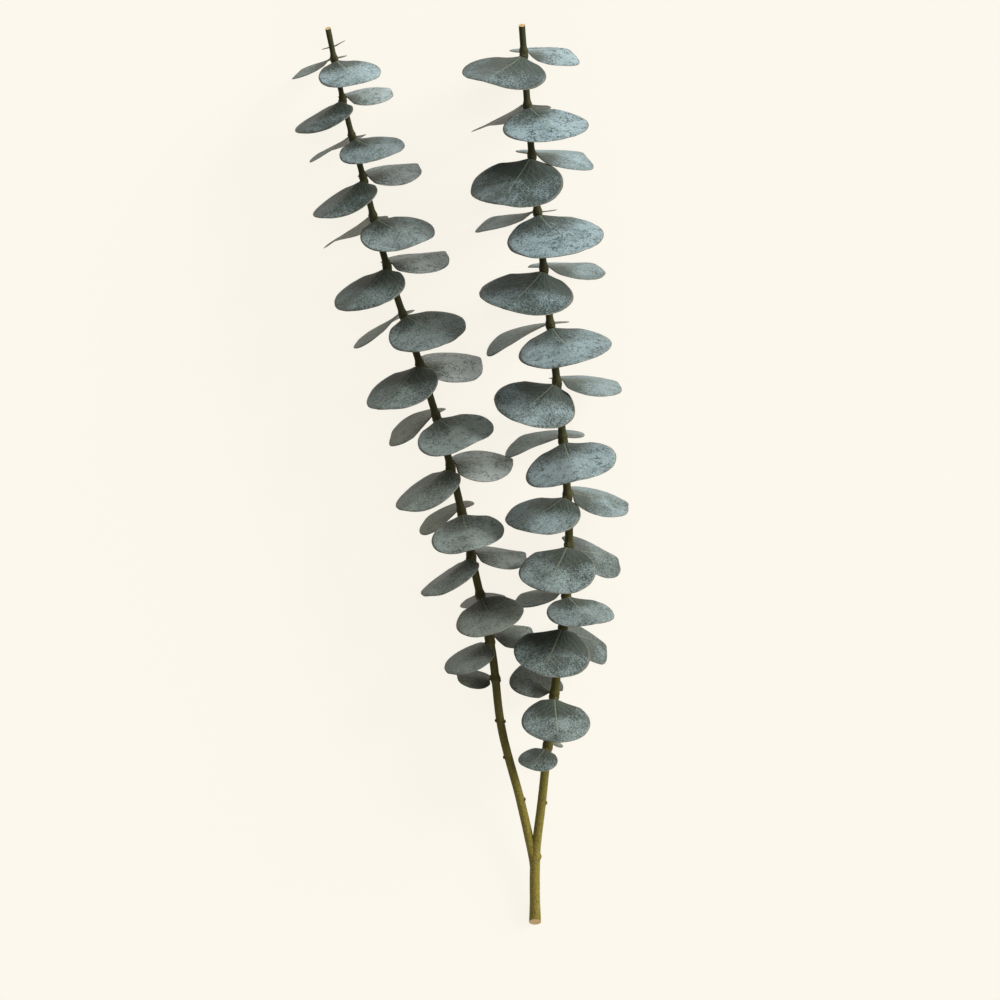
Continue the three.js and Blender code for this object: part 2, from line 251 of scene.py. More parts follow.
# Leaf blades. Each is measured off its CAD leaf, then made again with a fine surface.
leafShape = {
    "cells": 44,              # squares across the blade
    "crowding": 0.3,          # how much closer they lie along the midrib
    "thickness": 0.6 * mm,
    "edgePower": 10.0,        # how late the thickness runs out towards the edge
    "hub": 0.46,              # widest place along the midrib, as a part of the length
    "foldRound": 0.10,        # how round the fold over the midrib is, as a part of the half width
    "foldEase": 0.2,          # how much the fold eases off towards the edges
    "fullness": 1.035,        # outline against the CAD leaf's
    "tipPoint": 0.022,        # how far the tip stands out, as a part of the length
    "tipPointRight": 0.035,   # the same on leaves turned to the right
    "tipSpread": 0.2,
    "lobeBlend": 0.03,        # how softly the base lobes run into the round outline
    "baseNotch": 14,          # degrees
    "edgeWobble": 0.035,      # how uneven the outline is, and how often it strays
    "edgeWaves": 1.3,
    "edgeScale": 1.7,
    "ripple": 0.9 * mm,
    "rippleScale": 70,
    "grooveDepth": 0.28 * mm,
    "grooveWidth": 0.55 * mm,
    "grooveFade": (0.95, 0.1),    # where it ends and where it is full, as parts of the length
    "funnel": 0.07,           # how far the blade sags below its base, as a part of the length
    "funnelReach": 0.18,      # how soon it does so
    "floorGap": 0.05 * mm,
    "floorBend": 1.0 * mm,
    "weld": 0.02 * mm,
    "seed": 5,
}


def measureLeaf(name):
    # the base is the middle of the two points nearest to the shoot, and the tip of the two farthest off
    points = nodePlaces(name)
    shoot = shoots[name.split("_")[1]]
    gaps = np.linalg.norm(points[:, None, :] - shoot["path"][None, :, :], axis=2)
    nearest = gaps.min(axis=1).argsort()[:2]
    base = points[nearest].mean(axis=0)
    onPath = gaps[nearest[0]].argmin()
    axis = shoot["tangents"][onPath]
    tip = points[np.linalg.norm(points - base, axis=1).argsort()[-2:]].mean(axis=0)
    flat = np.linalg.svd(points - points.mean(axis=0))[2][2]
    flat = flat if flat @ axis > 0 else -flat
    midrib = (tip - base) / np.linalg.norm(tip - base)
    side = np.cross(flat, midrib)
    side /= np.linalg.norm(side)
    normal = np.cross(midrib, side)
    x, y, z = np.array([midrib, side, normal]) @ (points - base).T
    point = leafShape["tipPointRight" if name.endswith("right") else "tipPoint"]
    length = np.linalg.norm(tip - base) / (1 + point)
    width = y.max() - y.min()
    return dict(name=name, shoot=shoot, onPath=onPath, axis=axis, base=base, midrib=midrib, side=side,
                normal=normal, local=(x, y, z), point=point, length=length, width=width)


def fitLeaf(leaf):
    # height over the leaf's own plane, as slopes, fold, bends and curls
    x, y, z = leaf["local"]
    p = x / leaf["length"]
    q = y / (leaf["width"] / 2)
    fold = np.hypot(q, leafShape["foldRound"]) - leafShape["foldRound"]
    terms = np.array([p, q, fold, p * p, p * q, q * q, p**3, p * p * q, p * q * q]).T
    heights = np.linalg.lstsq(terms, z, rcond=None)[0]
    leaf["slopes"] = heights[0:3]
    leaf["bends"] = heights[3:6]
    leaf["curls"] = heights[6:9]
    leaf["misfit"] = float(np.abs(terms @ heights - z).max())
    # how far round each lobe reaches, from points a tenth of the width or more off the midrib
    for label, sign in (("reachLeft", 1), ("reachRight", -1)):
        lobe = y * sign > 0.1 * leaf["width"]
        leaf[label] = float(np.arctan2(y[lobe] * sign, x[lobe]).max())


def makeLeafTree():
    tree, identifiers = newGeometryTree("leafBlade", {
        "Base": "Vector", "Midrib": "Vector", "Side": "Vector", "Normal": "Vector",
        "Length": "Float", "Width": "Float", "Reach Left": "Float", "Reach Right": "Float",
        "Slopes": "Vector", "Bends": "Vector", "Curls": "Vector", "Tone": "Vector", "PaintedPale": "Float",
        "Seed": "Float", "Point": "Float", "Thickness": "Float", "Material": "Material",
    })
    b = NodeBench(tree)
    given = b.node("NodeGroupInput").outputs
    length = Term(b, given["Length"])
    halfWidth = Term(b, given["Width"]) / 2
    seed = Term(b, given["Seed"])
    hub = leafShape["hub"]
    across = leafShape["cells"] + 1
    squares = {"Size X": 2.0, "Size Y": 2.0, "Vertices X": across, "Vertices Y": across}
    grid = b.node("GeometryNodeMeshGrid", squares).outputs["Mesh"]

    # square to disc, closer set along the midrib
    u, v, _ = b.split(b.node("GeometryNodeInputPosition").outputs[0])
    v = v * (v * v * leafShape["crowding"] + (1 - leafShape["crowding"]))
    discX = u * b.math("SQRT", 1.0 - v * v / 2)
    discY = v * b.math("SQRT", 1.0 - u * u / 2)
    reach = b.math("MINIMUM", b.math("SQRT", discX * discX + discY * discY), 1.0)
    turn = b.math("ARCTAN2", discY, discX)
    along = b.math("COSINE", turn)
    sideways = b.math("SINE", turn)

    # outline: round, a small point, two base lobes with a notch between
    rim = along * (1 - hub) + hub
    rim = rim + b.bell(turn, leafShape["tipSpread"]) * Term(b, given["Point"])
    isLeft = b.math("GREATER_THAN", sideways, 0.0)
    right = Term(b, given["Reach Right"])
    lobeAngle = right + isLeft * (Term(b, given["Reach Left"]) - right)
    lobe = b.math("ABSOLUTE", sideways) * halfWidth / length / b.math("TANGENT", lobeAngle)
    rim = b.math("SMOOTH_MAX", rim, lobe, leafShape["lobeBlend"])
    toBase = (math.pi - b.math("ABSOLUTE", turn)) / math.radians(leafShape["baseNotch"])
    notch = b.math("SQRT", b.math("MINIMUM", b.math("MAXIMUM", toBase, 0.0), 1.0))
    rim = b.math("MAXIMUM", rim, 0.0) + b.math("MINIMUM", rim, 0.0) * notch
    waves = leafShape["edgeWaves"]
    uneven = b.noise(b.joined(along * waves, sideways * waves, seed), leafShape["edgeScale"], 3.0) - 0.5
    wobble = uneven * leafShape["edgeWobble"] + leafShape["fullness"]
    x = length * (reach * (rim * wobble - hub) + hub)
    y = reach * sideways * halfWidth * wobble

    # height: the CAD leaf's form, then ripple, midrib groove and the dip next to the stem
    p = x / length
    q = y / halfWidth
    fold = b.math("SQRT", q * q + leafShape["foldRound"] ** 2) - leafShape["foldRound"]
    eased = fold - q * q * leafShape["foldEase"]
    height = b.dot(given["Slopes"], b.joined(p, q, eased))
    height = height + b.dot(given["Bends"], b.joined(p * p, p * q, q * q))
    height = height + b.dot(given["Curls"], b.joined(p * p * p, p * p * q, p * q * q))
    ripple = b.noise(b.joined(x, y, seed), leafShape["rippleScale"], 2.0) - 0.5
    height = height + ripple * leafShape["ripple"] * reach
    groove = b.bell(y, leafShape["grooveWidth"]) * b.ramp(p, *leafShape["grooveFade"])
    height = height - groove * leafShape["grooveDepth"]
    fromBase = b.math("SQRT", x * x + y * y) / length
    steep = b.math("EXPONENT", fromBase / -leafShape["funnelReach"]) - 1.0 + fromBase
    height = height + steep * length * leafShape["funnel"]
    middle = b.total(given["Base"], b.scaled(given["Midrib"], x), b.scaled(given["Side"], y),
                     b.scaled(given["Normal"], height))
    thinned = b.math("SQRT", 1.0 - b.math("POWER", reach, leafShape["edgePower"]))
    half = Term(b, given["Thickness"]) / 2 * thinned
    mx, my, mz = b.split(middle)
    lowest = half + leafShape["floorGap"]
    resting = b.joined(mx, my, b.math("SMOOTH_MAX", mz, lowest, leafShape["floorBend"]))

    # what the finish reads: place on the blade, size, tone, painted light and which face
    marked = b.stored(grid, "leafPlace", b.joined(p, y / length, reach), "FLOAT_VECTOR")
    marked = b.stored(marked, "leafSize", length)
    marked = b.stored(marked, "leafTone", given["Tone"], "FLOAT_VECTOR")
    marked = b.stored(marked, "leafPale", given["PaintedPale"])
    join = b.node("GeometryNodeJoinGeometry")
    for face, sign in ((1.0, 1.0), (0.0, -1.0)):
        named = b.stored(marked, "leafFace", face)
        place = b.total(resting, b.scaled(given["Normal"], half * sign))
        blade = b.node("GeometryNodeSetPosition", {"Geometry": named, "Position": place}).outputs[0]
        if sign < 0:
            blade = b.node("GeometryNodeFlipFaces", {"Mesh": blade}).outputs[0]
        b.feed(join.inputs[0], blade)
    welded = {"Geometry": join.outputs[0], "Distance": leafShape["weld"]}
    closed = b.node("GeometryNodeMergeByDistance", welded)
    smooth = b.node("GeometryNodeSetShadeSmooth", {"Geometry": closed.outputs[0]})
    real = b.node("GeometryNodeRealizeInstances", {"Geometry": smooth.outputs[0]})
    finish = b.node("GeometryNodeSetMaterial", {"Geometry": real.outputs[0], "Material": given["Material"]})
    b.feed(b.node("NodeGroupOutput").inputs[0], finish.outputs[0])
    return tree, identifiers


# Stem: bark along both shoots, swollen at the leaf nodes, with seats, buds, scars and cut ends
stemShape = {
    "sides": 22,
    "ring": 0.9 * mm,
    "swell": 0.7 * mm,
    "swellReach": 1.7 * mm,
    "ridge": 0.16 * mm,
    "ridgeScale": 900.0,
    "ridgeStretch": 0.06,     # along the stem against across it
    "seat": (1.5 * mm, 1.6 * mm, 0.9 * mm),
    "seatOut": 0.95,          # from the stem's middle, as a part of its radius
    "seatUp": 0.2 * mm,
    "bud": (0.75 * mm, 0.65 * mm, 0.95 * mm),
    "budOut": 1.05,
    "budUp": 1.4 * mm,
    "scar": (0.75 * mm, 1.4 * mm, 1.0 * mm),
    "collar": (3.4 * mm, 3.1 * mm, 3.6 * mm),
    "collarAt": 41,           # millimetres from the foot
    "footSlant": 1.0,
    "tipSlant": -0.4,
    "slantLength": 12 * mm,
    "cutReach": 7 * mm,       # faces this near to an end, and this square to it, are cut wood
    "cutFacing": 0.6,
    "nodeShade": 3.2 * mm,    # how far the brown at a leaf node and at a scar reaches
    "scarShade": 1.9 * mm,
    "floorGap": 0.02 * mm,
}


def curveObject(name, shoot):
    curve = bpy.data.curves.new(name, "CURVE")
    curve.dimensions = "3D"
    spline = curve.splines.new("POLY")
    spline.points.add(len(shoot["path"]) - 1)
    for point, place, radius in zip(spline.points, shoot["path"], shoot["radii"]):
        point.co = (*place, 1)
        point.radius = radius
    made = bpy.data.objects.new(name, curve)
    bpy.context.scene.collection.objects.link(made)
    return made


def markObject(name, marks):
    # points with an outward and an upward direction each
    mesh = bpy.data.meshes.new(name)
    mesh.from_pydata([tuple(mark[0]) for mark in marks], [], [])
    for label, i in (("outward", 1), ("upward", 2)):
        attribute = mesh.attributes.new(label, "FLOAT_VECTOR", "POINT")
        attribute.data.foreach_set("vector", np.array([mark[i] for mark in marks], np.float32).ravel())
    made = bpy.data.objects.new(name, mesh)
    bpy.context.scene.collection.objects.link(made)
    return made


def makeStemTree():
    tree, identifiers = newGeometryTree("barkStem", {
        "Right Shoot": "Object", "Left Shoot": "Object", "Seats": "Object", "Scars": "Object",
        "Collar": "Object", "Ends": "Object", "Material": "Material",
    })
    b = NodeBench(tree)
    given = b.node("NodeGroupInput").outputs

    def objectMesh(label):
        return b.node("GeometryNodeObjectInfo", {"Object": given[label]}).outputs["Geometry"]

    def named(label):
        made = b.node("GeometryNodeInputNamedAttribute", {"Name": label}, data_type="FLOAT_VECTOR")
        return made.outputs[0]

    def distanceTo(points):
        made = b.node("GeometryNodeProximity", {"Geometry": points}, target_element="POINTS")
        return Term(b, made.outputs["Distance"])

    def lumps(points, outward, upward, size):
        # egg-shaped lumps on marks, moved outward and upward from them
        offset = b.total(b.scaled(named("outward"), outward), b.scaled(named("upward"), upward))
        moved = b.node("GeometryNodeSetPosition", {"Geometry": points, "Offset": offset}).outputs[0]
        egg = b.node("GeometryNodeMeshIcoSphere", {"Radius": 1.0, "Subdivisions": 3}).outputs[0]
        axes = {"Primary Axis": named("upward"), "Secondary Axis": named("outward")}
        turned = b.node("FunctionNodeAxesToRotation", axes, primary_axis="Z", secondary_axis="X").outputs[0]
        eggs = {"Points": moved, "Instance": egg, "Rotation": turned, "Scale": size}
        return b.node("GeometryNodeInstanceOnPoints", eggs).outputs[0]

    seats = objectMesh("Seats")
    scars = objectMesh("Scars")
    ends = objectMesh("Ends")
    union = b.node("GeometryNodeMeshBoolean", operation="UNION", solver="MANIFOLD")
    circle = b.node("GeometryNodeCurvePrimitiveCircle", {"Resolution": stemShape["sides"], "Radius": 1.0})
    position = b.node("GeometryNodeInputPosition").outputs[0]
    normal = b.node("GeometryNodeInputNormal").outputs[0]
    px, py, pz = b.split(position)
    for label, side in (("Right Shoot", "right"), ("Left Shoot", "left")):
        spaced = {"Curve": objectMesh(label), "Length": stemShape["ring"]}
        rings = b.node("GeometryNodeResampleCurve", spaced, mode="LENGTH").outputs[0]
        swell = b.bell(distanceTo(seats), stemShape["swellReach"]) * stemShape["swell"]
        radius = Term(b, b.node("GeometryNodeInputRadius").outputs[0]) + swell
        swept = {"Curve": rings, "Profile Curve": circle.outputs[0], "Scale": radius, "Fill Caps": True}
        tube = b.node("GeometryNodeCurveToMesh", swept).outputs[0]
        grain = b.joined(px, py * stemShape["ridgeStretch"], pz)
        ridges = b.noise(grain, stemShape["ridgeScale"], 2.0) - 0.5
        raised = b.scaled(normal, ridges * stemShape["ridge"])
        bark = b.node("GeometryNodeSetPosition", {"Geometry": tube, "Offset": raised}).outputs[0]
        cuts = [(shoots[side]["path"][-1], -1, stemShape["tipSlant"])]
        if side == "right":
            cuts.append((shoots[side]["path"][0], 1, stemShape["footSlant"]))
        for place, inward, slope in cuts:
            _, endY, endZ = place.tolist()
            fade = b.ramp(py, endY + inward * stemShape["slantLength"], endY)
            slant = b.joined(0.0, (pz - endZ) * fade * slope, 0.0)
            bark = b.node("GeometryNodeSetPosition", {"Geometry": bark, "Offset": slant}).outputs[0]
        b.feed(union.inputs[1], bark)
    b.feed(union.inputs[1], lumps(seats, stemShape["seatOut"], stemShape["seatUp"], stemShape["seat"]))
    b.feed(union.inputs[1], lumps(seats, stemShape["budOut"], stemShape["budUp"], stemShape["bud"]))
    b.feed(union.inputs[1], lumps(scars, 0.0, 0.0, stemShape["scar"]))
    b.feed(union.inputs[1], lumps(objectMesh("Collar"), 0.0, 0.0, stemShape["collar"]))

    # no part of the bark goes under the floor
    lifted = b.joined(px, py, b.math("MAXIMUM", pz, stemShape["floorGap"]))
    lying = b.node("GeometryNodeSetPosition", {"Geometry": union.outputs[0], "Position": lifted}).outputs[0]

    # what the finish reads: nearness to a leaf node, and the cut faces
    near = b.math("MAXIMUM", b.bell(distanceTo(seats), stemShape["nodeShade"]),
                  b.bell(distanceTo(scars), stemShape["scarShade"]))
    marked = b.stored(lying, "nodeNear", near)
    nearest = b.node("GeometryNodeSampleNearest", {"Geometry": ends, "Sample Position": position})
    sampled = {"Geometry": ends, "Index": nearest.outputs[0]}
    endWay = b.node("GeometryNodeSampleIndex", sampled, data_type="FLOAT_VECTOR", domain="POINT")
    b.feed(endWay.inputs["Value"], named("outward"))
    facing = b.math("GREATER_THAN", b.dot(normal, endWay.outputs[0]), stemShape["cutFacing"])
    cut = facing * b.math("LESS_THAN", distanceTo(ends), stemShape["cutReach"])
    marked = b.stored(marked, "cutFace", cut, domain="FACE")
    smooth = b.node("GeometryNodeSetShadeSmooth", {"Geometry": marked, "Shade Smooth": 1.0 - cut})
    real = b.node("GeometryNodeRealizeInstances", {"Geometry": smooth.outputs[0]})
    finish = b.node("GeometryNodeSetMaterial", {"Geometry": real.outputs[0], "Material": given["Material"]})
    b.feed(b.node("NodeGroupOutput").inputs[0], finish.outputs[0])
    return tree, identifiers


def newShaderGroup(name, inputs, outputs):
    tree = bpy.data.node_groups.new(name, "ShaderNodeTree")
    for label, kind in inputs.items():
        tree.interface.new_socket(name=label, in_out="INPUT", socket_type="NodeSocket" + kind)
    for label, kind in outputs.items():
        tree.interface.new_socket(name=label, in_out="OUTPUT", socket_type="NodeSocket" + kind)
    b = NodeBench(tree)
    return tree, b, b.node("NodeGroupInput").outputs, b.node("NodeGroupOutput").inputs


def mottleGroup():
    # soft patches, small dark specks, and short wandering cracks in the wax
    inputs = {"Vector": "Vector", "Patch Scale": "Float", "Speck Scale": "Float", "Crack Scale": "Float"}
    outputs = {"Patches": "Float", "Specks": "Float", "Cracks": "Float"}
    tree, b, given, out = newShaderGroup("mottle", inputs, outputs)
    patches = b.noise(given["Vector"], given["Patch Scale"], 3.0, 0.6)
    b.feed(out["Patches"], b.ramp(patches, 0.3, 0.7))
    grains = b.noise(given["Vector"], given["Speck Scale"], 2.0, 0.6)
    b.feed(out["Specks"], b.ramp(grains, 0.4, 0.65))
    scale = Term(b, given["Crack Scale"])
    # the cracks are the edges of bent cells, left out in places
    stray = b.node("ShaderNodeTexNoise", {"Vector": given["Vector"], "Scale": scale * 1.3, "Detail": 2.0})
    bent = b.total(given["Vector"], b.scaled(stray.outputs["Color"], b.math("DIVIDE", 1.1, scale)))
    gaps = b.ramp(b.noise(given["Vector"], scale * 0.6, 2.0, 0.6), 0.45, 0.6)
    net = b.node("ShaderNodeTexVoronoi", {"Vector": bent, "Scale": scale}, feature="DISTANCE_TO_EDGE")
    b.feed(out["Cracks"], b.ramp(Term(b, net.outputs["Distance"]), 0.11, 0.03) * gaps)
    return tree


def veinGroup():
    # side veins that leave the midrib like a feather's, and fine streaks out from the base
    inputs = {"Place": "Vector", "Size": "Float", "Count": "Float", "Thickness": "Float", "Seed": "Float"}
    outputs = {"Veins": "Float", "Streaks": "Float", "Midrib": "Float"}
    tree, b, given, out = newShaderGroup("veinFan", inputs, outputs)
    p, q, _ = b.split(given["Place"])
    seed = Term(b, given["Seed"])
    size = Term(b, given["Size"])
    count = Term(b, given["Count"])
    thick = Term(b, given["Thickness"])
    far = b.math("SQRT", p * p + q * q)
    bend = b.noise(b.joined(p, q, seed), 4.0, 2.0) - 0.5
    angle = b.math("ARCTAN2", q, p + 0.06) + bend * far * 0.3
    side = b.math("ABSOLUTE", q)
    # side veins lean forward and bend towards the tip
    beat = (p - side * 0.85 + side * side * 0.6 + bend * 0.12) * count
    toVein = b.math("ABSOLUTE", b.math("FRACT", beat + 0.5) - 0.5) / count * size * 0.75
    feather = b.ramp(toVein, thick, thick * 0.3) * b.ramp(side, 0.45, 0.1) * b.ramp(far, 0.05, 0.2)
    # finer rays out of the base, which fade towards the tip
    ray = b.math("ABSOLUTE", b.math("FRACT", angle * count * 0.55 + 0.5) - 0.5) / count * far * size * 1.8
    rays = b.ramp(ray, thick * 0.8, thick * 0.2) * b.ramp(far, 0.9, 0.15) * 0.8
    b.feed(out["Veins"], b.math("MAXIMUM", feather, rays))
    b.feed(out["Streaks"], b.noise(b.joined(angle * 20.0, far * 4.0, seed), 1.7, 3.0, 0.6))
    middle = b.ramp(side * size, thick * 1.4, thick * 0.4)
    b.feed(out["Midrib"], middle * b.ramp(p, 1.0, 0.4))
    return tree


leafLook = {
    "bloom": (0.46, 0.61, 0.65, 1),         # waxy blue-grey
    "bare": (0.052, 0.074, 0.066, 1),       # green where the wax is thin
    "oliveBloom": (0.37, 0.38, 0.28, 1),    # the same two on older, greyer leaves
    "oliveBare": (0.066, 0.07, 0.048, 1),
    "paintedLightBloom": (0.80, 0.84, 0.80, 1),    # painted light, as the palest wax
    "under": (0.29, 0.295, 0.25, 1),
    "underDark": (0.17, 0.175, 0.14, 1),
    "speck": (0.02, 0.036, 0.03, 1),
    "vein": (0.33, 0.36, 0.24, 1),
    "edge": (0.21, 0.175, 0.12, 1),
    "patchScale": 70.0,
    "speckScale": 1100.0,
    "crackScale": 330.0,
    "veinCount": 9.0,
    "veinThickness": 0.42 * mm,
    "paintedShadeReach": (0.04, 0.62),     # where the painted shade by the stem ends and where the blade is palest, as parts of the length
    "paintedShadeDepth": 0.95,             # how much paler it is there than in the painted shade by the stem
    "waxThin": 0.32,              # how much less everywhere, and at the rim
    "waxRim": 0.12,
    "waxPatches": 0.4,            # how much patches, streaks and specks change it
    "waxStreaks": 0.7,
    "waxSpecks": 0.45,
    "rubReach": (0.04, 0.25),     # where cracks begin and where they show in full
    "rubBloom": (-0.1, 0.2, 0.3, 0.9),    # from little wax to much, and how plain they are on each
    "veinShow": 0.16,
    "midribShow": 0.5,
    "underStreakShow": 0.6,
    "underVeinShow": 0.35,
    "edgeShow": 0.85,
    "roughness": 0.5,
    "waxRoughness": 0.15,
    "specular": 0.35,
    "relief": 0.3 * mm,
    "reliefStrength": 0.6,
}


def leafMaterial(mottle, veinFan):
    look = leafLook
    material = bpy.data.materials.new("waxyLeaf")
    material.use_nodes = True
    tree = material.node_tree
    b = NodeBench(tree)
    shader = tree.nodes["Principled BSDF"]
    place = b.readVector("leafPlace")
    tone = b.readVector("leafTone")
    size = b.read("leafSize")
    face = b.read("leafFace")
    paintedPale = b.read("leafPale")
    seed, bloom, olive = b.split(tone)
    p, q, reach = b.split(place)
    far = b.math("SQRT", p * p + q * q)
    spots = b.node("ShaderNodeGroup", node_tree=mottle)
    b.feed(spots.inputs["Vector"], b.joined(p * size, q * size, seed))
    b.feed(spots.inputs["Patch Scale"], look["patchScale"])
    b.feed(spots.inputs["Speck Scale"], look["speckScale"])
    b.feed(spots.inputs["Crack Scale"], look["crackScale"])
    fan = b.node("ShaderNodeGroup", node_tree=veinFan)
    b.feed(fan.inputs["Place"], place)
    b.feed(fan.inputs["Size"], size)
    b.feed(fan.inputs["Count"], look["veinCount"])
    b.feed(fan.inputs["Thickness"], look["veinThickness"])
    b.feed(fan.inputs["Seed"], seed)
    patches = Term(b, spots.outputs["Patches"])
    specks = Term(b, spots.outputs["Specks"])
    cracks = Term(b, spots.outputs["Cracks"])
    streaks = Term(b, fan.outputs["Streaks"])
    veins = Term(b, fan.outputs["Veins"])
    midrib = Term(b, fan.outputs["Midrib"])

    # upper face: pale wax on the outer part and painted shade by the stem, rubbed in specks and cracks
    waxAndPaintedShading = bloom + b.ramp(far, *look["paintedShadeReach"]) * look["paintedShadeDepth"] - look["waxThin"]
    waxAndPaintedShading = waxAndPaintedShading - b.ramp(reach, 0.85, 1.0) * look["waxRim"]
    waxAndPaintedShading = waxAndPaintedShading + (patches - 0.5) * look["waxPatches"] + (streaks - 0.5) * look["waxStreaks"]
    waxAndPaintedShading = waxAndPaintedShading - (specks - 0.4) * look["waxSpecks"]
    waxAndPaintedShading = b.math("MINIMUM", b.math("MAXIMUM", waxAndPaintedShading, 0.0), 1.0)
    upper = b.mixed(waxAndPaintedShading, b.mixed(olive, look["bare"], look["oliveBare"]),
                    b.mixed(olive, look["bloom"], look["oliveBloom"]))
    # painted light: thick pale wax on the left shoot's leaves turned to the right
    upper = b.mixed(waxAndPaintedShading * paintedPale, upper, look["paintedLightBloom"])
    rubbed = cracks * b.ramp(far, *look["rubReach"]) * b.ramp(bloom, *look["rubBloom"])
    upper = b.mixed(rubbed * (1.0 - olive * 0.6), upper, look["speck"])
    upper = b.mixed(veins * look["veinShow"], upper, look["vein"])
    upper = b.mixed(midrib * look["midribShow"], upper, look["vein"])
    darker = b.ramp(streaks, 0.3, 0.75) * look["underStreakShow"]
    under = b.mixed(darker, look["under"], look["underDark"])
    under = b.mixed(veins * look["underVeinShow"], under, look["underDark"])
    colour = b.mixed(face, under, upper)
    colour = b.mixed(b.ramp(reach, 0.975, 0.99) * look["edgeShow"], colour, look["edge"])
    b.feed(shader.inputs["Base Color"], colour)
    b.feed(shader.inputs["Roughness"], waxAndPaintedShading * look["waxRoughness"] + look["roughness"])
    shader.inputs["Specular IOR Level"].default_value = look["specular"]
    relief = veins * 0.4 + midrib * 0.6 + streaks * 0.5 - cracks * 0.3
    raised = {"Height": relief, "Distance": look["relief"], "Strength": look["reliefStrength"]}
    b.feed(shader.inputs["Normal"], b.node("ShaderNodeBump", raised).outputs[0])
    return material


stemLook = {
    "foot": (0.33, 0.26, 0.042, 1),
    "middle": (0.095, 0.083, 0.012, 1),
    "tip": (0.04, 0.046, 0.012, 1),
    "node": (0.062, 0.052, 0.018, 1),
    "streak": (0.044, 0.038, 0.013, 1),
    "cut": (0.85, 0.60, 0.30, 1),
    "pith": (0.62, 0.38, 0.15, 1),
    "middleFade": (0.03, 0.15),   # metres from the foot over which each colour takes over
    "tipFade": (0.12, 0.34),
    "streakScale": 1400.0,
    "streakStretch": 0.08,        # along the stem against across it
    "streakShow": 0.5,
    "speckScale": 1500.0,
    "speckShow": 0.6,
    "nodeShow": 0.7,
    "roughness": 0.5,
    "streakRoughness": 0.2,
    "specular": 0.2,
    "relief": 0.2 * mm,
    "reliefStrength": 0.6,
}


def stemMaterial(mottle):
    look = stemLook
    material = bpy.data.materials.new("oliveBark")
    material.use_nodes = True
    tree = material.node_tree
    b = NodeBench(tree)
    shader = tree.nodes["Principled BSDF"]
    where = b.node("ShaderNodeTexCoord").outputs["Object"]
    near = b.read("nodeNear")
    cut = b.read("cutFace")
    px, py, pz = b.split(where)
    footY = float(footShift[1])
    colour = look["foot"]
    for part in ("middle", "tip"):
        start, end = look[part + "Fade"]
        colour = b.mixed(b.ramp(py, footY + start, footY + end), colour, look[part])
    spots = b.node("ShaderNodeGroup", node_tree=mottle)
    b.feed(spots.inputs["Vector"], where)
    b.feed(spots.inputs["Speck Scale"], look["speckScale"])
    specks = Term(b, spots.outputs["Specks"])
    streaks = b.noise(b.joined(px, py * look["streakStretch"], pz), look["streakScale"], 3.0, 0.6)
    colour = b.mixed(b.ramp(streaks, 0.5, 0.75) * look["streakShow"], colour, look["streak"])
    colour = b.mixed(specks * look["speckShow"], colour, look["streak"])
    colour = b.mixed(near * look["nodeShow"], colour, look["node"])
    wood = b.mixed(b.ramp(streaks, 0.4, 0.7), look["cut"], look["pith"])
    colour = b.mixed(cut, colour, wood)
    b.feed(shader.inputs["Base Color"], colour)
    b.feed(shader.inputs["Roughness"], streaks * look["streakRoughness"] + look["roughness"])
    shader.inputs["Specular IOR Level"].default_value = look["specular"]
    raised = {"Height": streaks, "Distance": look["relief"], "Strength": look["reliefStrength"]}
    b.feed(shader.inputs["Normal"], b.node("ShaderNodeBump", raised).outputs[0])
    return material


mottle = mottleGroup()
veinFan = veinGroup()
leafFinish = leafMaterial(mottle, veinFan)
stemFinish = stemMaterial(mottle)
print("finishes made")

leafTone = {
    "shootLength": 0.5,       # metres from the foot to the tips
    "lowRight": -0.44,        # wax at the foot of each shoot, and how much more at its tip
    "lowLeft": -0.08,
    "riseRight": 0.62,
    "riseLeft": 0.16,
    "middle": 0.3,            # painted light: paler a little over half way up
    "paintedLightMiddleAt": 0.55,
    "paintedLightMiddleSpread": 0.12,
    "leftTurnedPaintedShade": 0.6,        # painted shade on leaves turned to the left, drawn as less wax, most so near the tip
    "rightTurnedRight": -0.6,     # painted shade on the right shoot's leaves turned to the right, painted light on the left shoot's, most so near the foot
    "rightTurnedLeft": 0.3,
    "paintedPaleLeft": 0.8,          # painted light as thick pale wax on the left shoot's leaves turned to the right
    "paintedPaleAt": 0.7,
    "paintedPaleSpread": 0.2,
    "stray": 0.06,
    "oliveRight": (0.5, 0.0),     # greyer green at the foot and at the tip
    "oliveLeft": (1.0, 0.15),
    "oliveBack": 0.3,
}


def hump(value, at, spread):
    return math.exp(-((value - at) / spread) ** 2)


def toneOf(leaf, random):
    # wax, grey-green, painted shade and painted light (as thick pale wax), by the leaf's shoot, height and
    # direction
    tone = leafTone
    onRight = leaf["shoot"] is shoots["right"]
    side = "Right" if onRight else "Left"
    height = (leaf["base"][1] - footShift[1]) / tone["shootLength"]
    bloom = tone["low" + side] + random.uniform(-1, 1) * tone["stray"]
    bloom += tone["rise" + side] * height
    # painted light a little over half way up
    bloom += tone["middle"] * hump(height, tone["paintedLightMiddleAt"], tone["paintedLightMiddleSpread"])
    paintedPale = 0.0
    if leaf["name"].endswith("left"):
        # painted shade on leaves turned to the left
        bloom -= tone["leftTurnedPaintedShade"] * height
    if leaf["name"].endswith("right"):
        # painted shade on the right shoot, painted light on the left shoot
        bloom += tone["rightTurned" + side] * (1 - height)
        if not onRight:
            # painted light as thick pale wax
            paintedPale = tone["paintedPaleLeft"] * hump(height, tone["paintedPaleAt"], tone["paintedPaleSpread"])
    low, high = tone["olive" + side]
    olive = low + (high - low) * height + random.uniform(-1, 1) * tone["stray"]
    if leaf["name"].endswith("back"):
        olive += tone["oliveBack"]
    return bloom, min(1.0, max(0.0, olive)), float(paintedPale)


